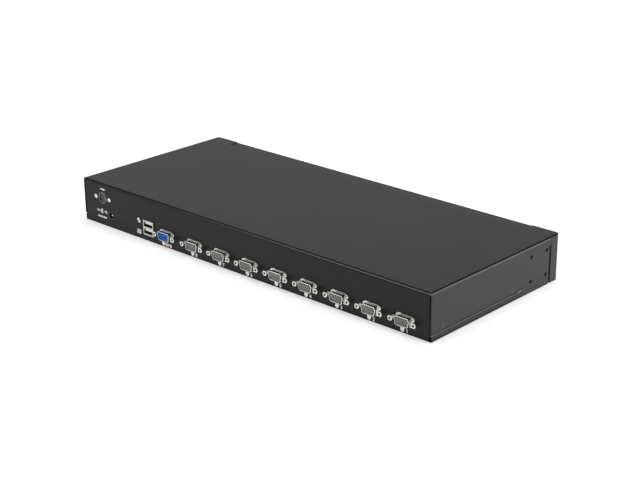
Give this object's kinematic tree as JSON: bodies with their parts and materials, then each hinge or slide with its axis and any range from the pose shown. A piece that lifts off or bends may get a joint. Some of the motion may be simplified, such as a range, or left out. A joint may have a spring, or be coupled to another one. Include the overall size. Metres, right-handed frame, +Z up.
{
  "type": "kvm switch",
  "caption": "Rack-height keyboard, video and mouse switch: folded black steel case, plastic bezel with push-buttons, video, USB, power and link sockets behind.",
  "frame": {"origin": "middle of the case's underside, on the surface it rests on", "axes": "+X to the right seen from the button side, +Y out of the connector panel, +Z up"},
  "size_m": [0.44, 0.1878, 0.044],
  "materials": {
    "black_steel": "semi-matt black powder coat, very fine texture",
    "black_plastic": "fine spark texture",
    "button_plastic": "smooth satin",
    "nickel": "bright nickel plate",
    "port_grey": "moulded, satin",
    "port_blue": "moulded, satin",
    "usb_white": "moulded, satin",
    "zinc_steel": "clear zinc plate",
    "black_screw": "black zinc",
    "circuit_board": "green solder mask",
    "light_green": "tinted clear lens",
    "light_amber": "tinted clear lens",
    "cable_grey": "soft vinyl",
    "capacitor_sleeve": "shrunk sleeve"
  },
  "bodies": {
    "case": {"base_tray": "black_steel", "top_cover": "black_steel", "front_bezel": "black_plastic", "power_socket_body": "black_plastic", "tact_switches": "black_plastic", "board_headers": "black_plastic", "switching_chips": "black_plastic", "link_socket_insert": "black_plastic", "port_1_shell": "nickel", "port_2_shell": "nickel", "port_3_shell": "nickel", "port_4_shell": "nickel", "port_5_shell": "nickel", "port_6_shell": "nickel", "port_7_shell": "nickel", "port_8_shell": "nickel", "console_port_shell": "nickel", "jackscrews": "nickel", "usb_shell": "nickel", "link_socket_shell": "nickel", "link_socket_screws": "nickel", "port_1_insert": "port_grey", "port_2_insert": "port_grey", "port_3_insert": "port_grey", "port_4_insert": "port_grey", "port_5_insert": "port_grey", "port_6_insert": "port_grey", "port_7_insert": "port_grey", "port_8_insert": "port_grey", "console_port_insert": "port_blue", "usb_tongues": "usb_white", "standoffs": "zinc_steel", "board_screws": "zinc_steel", "clinch_nuts": "zinc_steel", "front_screws": "zinc_steel", "power_socket_pin": "zinc_steel", "cover_screws": "black_screw", "main_board": "circuit_board", "front_board": "circuit_board", "status_lights": "light_green", "selection_lights": "light_amber", "ribbon_cable": "cable_grey", "link_harness": "cable_grey", "capacitors": "capacitor_sleeve"},
    "button_1": {"port_button_1": "button_plastic"},
    "button_2": {"port_button_2": "button_plastic"},
    "button_3": {"port_button_3": "button_plastic"},
    "button_4": {"port_button_4": "button_plastic"},
    "button_5": {"port_button_5": "button_plastic"},
    "button_6": {"port_button_6": "button_plastic"},
    "button_7": {"port_button_7": "button_plastic"},
    "button_8": {"port_button_8": "button_plastic"}
  },
  "joints": [
    {"name": "press_1", "type": "slide", "parent": "case", "child": "button_1", "axis": [0, 1, 0], "range_m": [0, 0.0005], "stiffness_N_per_m": 400, "springref_m": -0.002},
    {"name": "press_2", "type": "slide", "parent": "case", "child": "button_2", "axis": [0, 1, 0], "range_m": [0, 0.0005], "stiffness_N_per_m": 400, "springref_m": -0.002},
    {"name": "press_3", "type": "slide", "parent": "case", "child": "button_3", "axis": [0, 1, 0], "range_m": [0, 0.0005], "stiffness_N_per_m": 400, "springref_m": -0.002},
    {"name": "press_4", "type": "slide", "parent": "case", "child": "button_4", "axis": [0, 1, 0], "range_m": [0, 0.0005], "stiffness_N_per_m": 400, "springref_m": -0.002},
    {"name": "press_5", "type": "slide", "parent": "case", "child": "button_5", "axis": [0, 1, 0], "range_m": [0, 0.0005], "stiffness_N_per_m": 400, "springref_m": -0.002},
    {"name": "press_6", "type": "slide", "parent": "case", "child": "button_6", "axis": [0, 1, 0], "range_m": [0, 0.0005], "stiffness_N_per_m": 400, "springref_m": -0.002},
    {"name": "press_7", "type": "slide", "parent": "case", "child": "button_7", "axis": [0, 1, 0], "range_m": [0, 0.0005], "stiffness_N_per_m": 400, "springref_m": -0.002},
    {"name": "press_8", "type": "slide", "parent": "case", "child": "button_8", "axis": [0, 1, 0], "range_m": [0, 0.0005], "stiffness_N_per_m": 400, "springref_m": -0.002}
  ]
}
